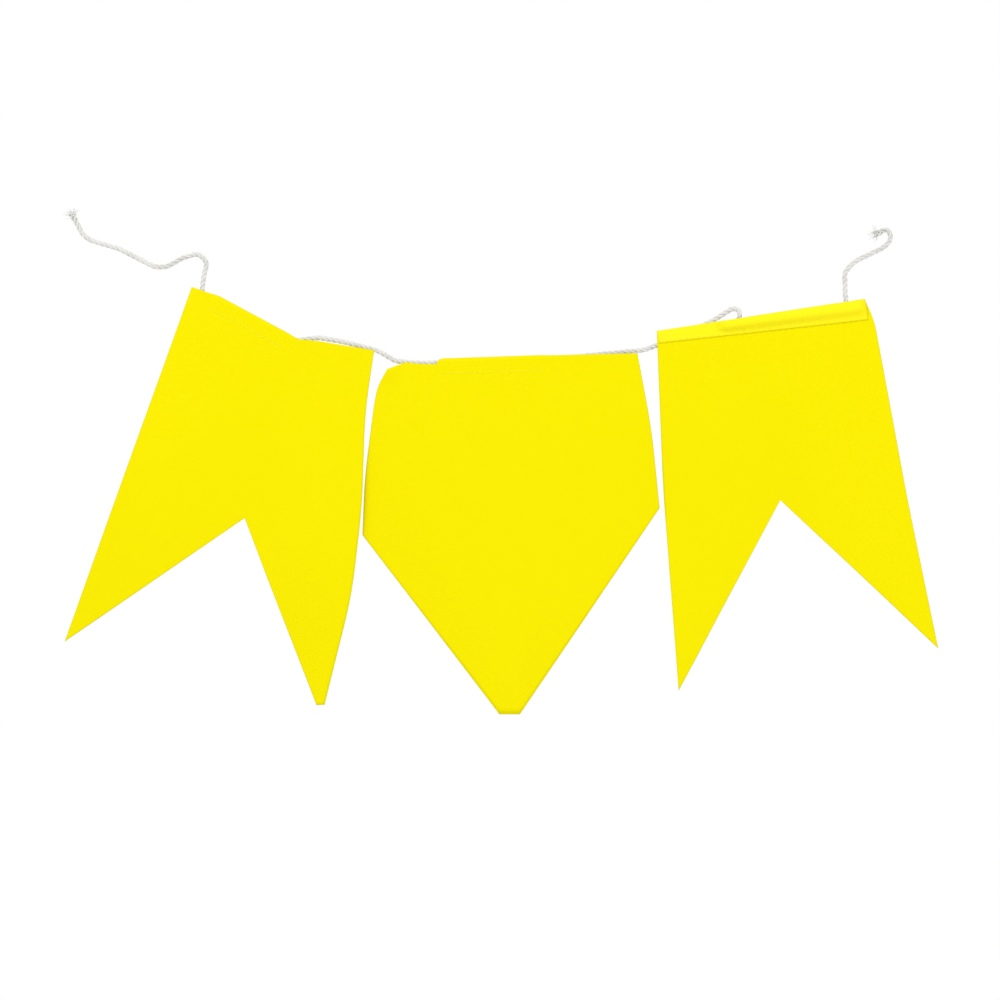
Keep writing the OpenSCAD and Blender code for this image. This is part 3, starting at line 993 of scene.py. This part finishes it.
# The left flag leans to the front and the right one to the back, clear of the centre one
left_drape = Drape(lean=-1.7 * MM, turn=0.9, wide=-1.1 * MM, slim=0.4 * MM, slow=-0.4 * MM)
centre_drape = Drape(lean=0.1 * MM, turn=2.1, wide=0.7 * MM, slim=0.3 * MM, slow=0.3 * MM,
                     curls=(("top_left", 13 * MM, -1.2 * MM),))
right_drape = Drape(lean=1.2 * MM, turn=4.0, wide=1.3 * MM, slim=0.5 * MM, slow=-0.5 * MM)
for side, hem_for, drape in (("left", short_hem, left_drape), ("centre", short_hem, centre_drape),
                             ("right", long_hem, right_drape)):
    flag = Flag(side)
    hem = hem_for(flag)
    flag_cloth(flag, hem, drape)
    flag_stitches(flag, hem)
build_cord()


# ---------------------------------------------------------------- floor, light and camera

floor_sides = 96
floor_drop = 0.9     # how far below the string, in widths of the string
floor_reach = 2.6    # its radius, in the same
lamp_size = 1.6      # and a lamp's side


def stage_floor(size):
    """A pale round floor well below the string."""
    low, high = cad_bounds
    middle_x, middle_y = (low[0] + high[0]) / 2, (low[1] + high[1]) / 2
    height = low[2] - floor_drop * size
    points = [(middle_x, middle_y, height)]
    for k in range(floor_sides):
        angle = 2 * math.pi * k / floor_sides
        points.append((middle_x + floor_reach * size * math.cos(angle),
                       middle_y + floor_reach * size * math.sin(angle), height))
    faces = [(0, 1 + k, 1 + (k + 1) % floor_sides) for k in range(floor_sides)]
    floor = new_object("studio_floor", points, faces)
    made, n = material("pale_floor")
    place = n.add("NewGeometry")
    tone = n.add("TexNoise", Vector=place.outputs["Position"], Scale=3.0, Detail=2.0)
    base = n.mix(n.maths("MULTIPLY", tone.outputs["Fac"], 0.2), PALE_GREY, GREY)
    surface = n.add("BsdfPrincipled", Base_Color=base, Roughness=0.9)
    n.add("OutputMaterial", Surface=surface.outputs[0])
    floor.data.materials.append(made)


def studio_world():
    """Even white light, and a white background."""
    world = bpy.data.worlds.new("studio")
    bpy.context.scene.world = world
    world.use_nodes = True
    world.node_tree.nodes.clear()
    n = Nodes(world.node_tree)
    seen = n.add("LightPath")
    light = n.add("Background", Color=(1, 1, 1, 1), Strength=0.74)
    backdrop = n.add("Background", Color=(1, 1, 1, 1), Strength=1.0)
    mixed = n.add("MixShader", Fac=seen.outputs["Is Camera Ray"])
    n.put(mixed, "1", light.outputs[0])
    n.put(mixed, "2", backdrop.outputs[0])
    n.add("OutputWorld", Surface=mixed.outputs[0])


def soft_light(name, place, aim, size, power):
    """A square lamp that faces what it is aimed at."""
    lamp = bpy.data.lights.new(name, "AREA")
    lamp.shape = "SQUARE"
    lamp.size = size
    lamp.energy = power
    thing = bpy.data.objects.new(name, lamp)
    thing.location = place
    away = np.array(aim) - np.array(place)
    thing.rotation_euler = Vector(away).to_track_quat("-Z", "Y").to_euler()
    bpy.context.scene.collection.objects.link(thing)


def studio_camera():
    """A long lens square on to the string, with the string a little above the middle of the frame."""
    low, high = cad_bounds
    width = high[0] - low[0]
    object_share = 0.873
    left_of_middle = 0.0031 * width
    below_middle = 0.0425 * width
    frame_width = width / object_share
    lens = bpy.data.cameras.new("camera")
    lens.lens = 110
    lens.sensor_width = 36
    distance = frame_width * lens.lens / lens.sensor_width
    camera = bpy.data.objects.new("camera", lens)
    middle = (low + high) / 2
    camera.location = (middle[0] - left_of_middle, middle[1] - distance, middle[2] - below_middle)
    camera.rotation_euler = (math.pi / 2, 0, 0)
    bpy.context.scene.collection.objects.link(camera)
    bpy.context.scene.camera = camera
    return np.array(middle), width


string_middle, string_width = studio_camera()
stage_floor(string_width)
studio_world()
for name, way, power in (("key_light", (-1.6, -2.2, 2.2), 9), ("fill_light", (2.2, -1.8, 0.6), 3.5)):
    place = string_middle + string_width * np.array(way)
    soft_light(name, place, string_middle, lamp_size * string_width, power)
bpy.context.scene.view_settings.view_transform = "Standard"
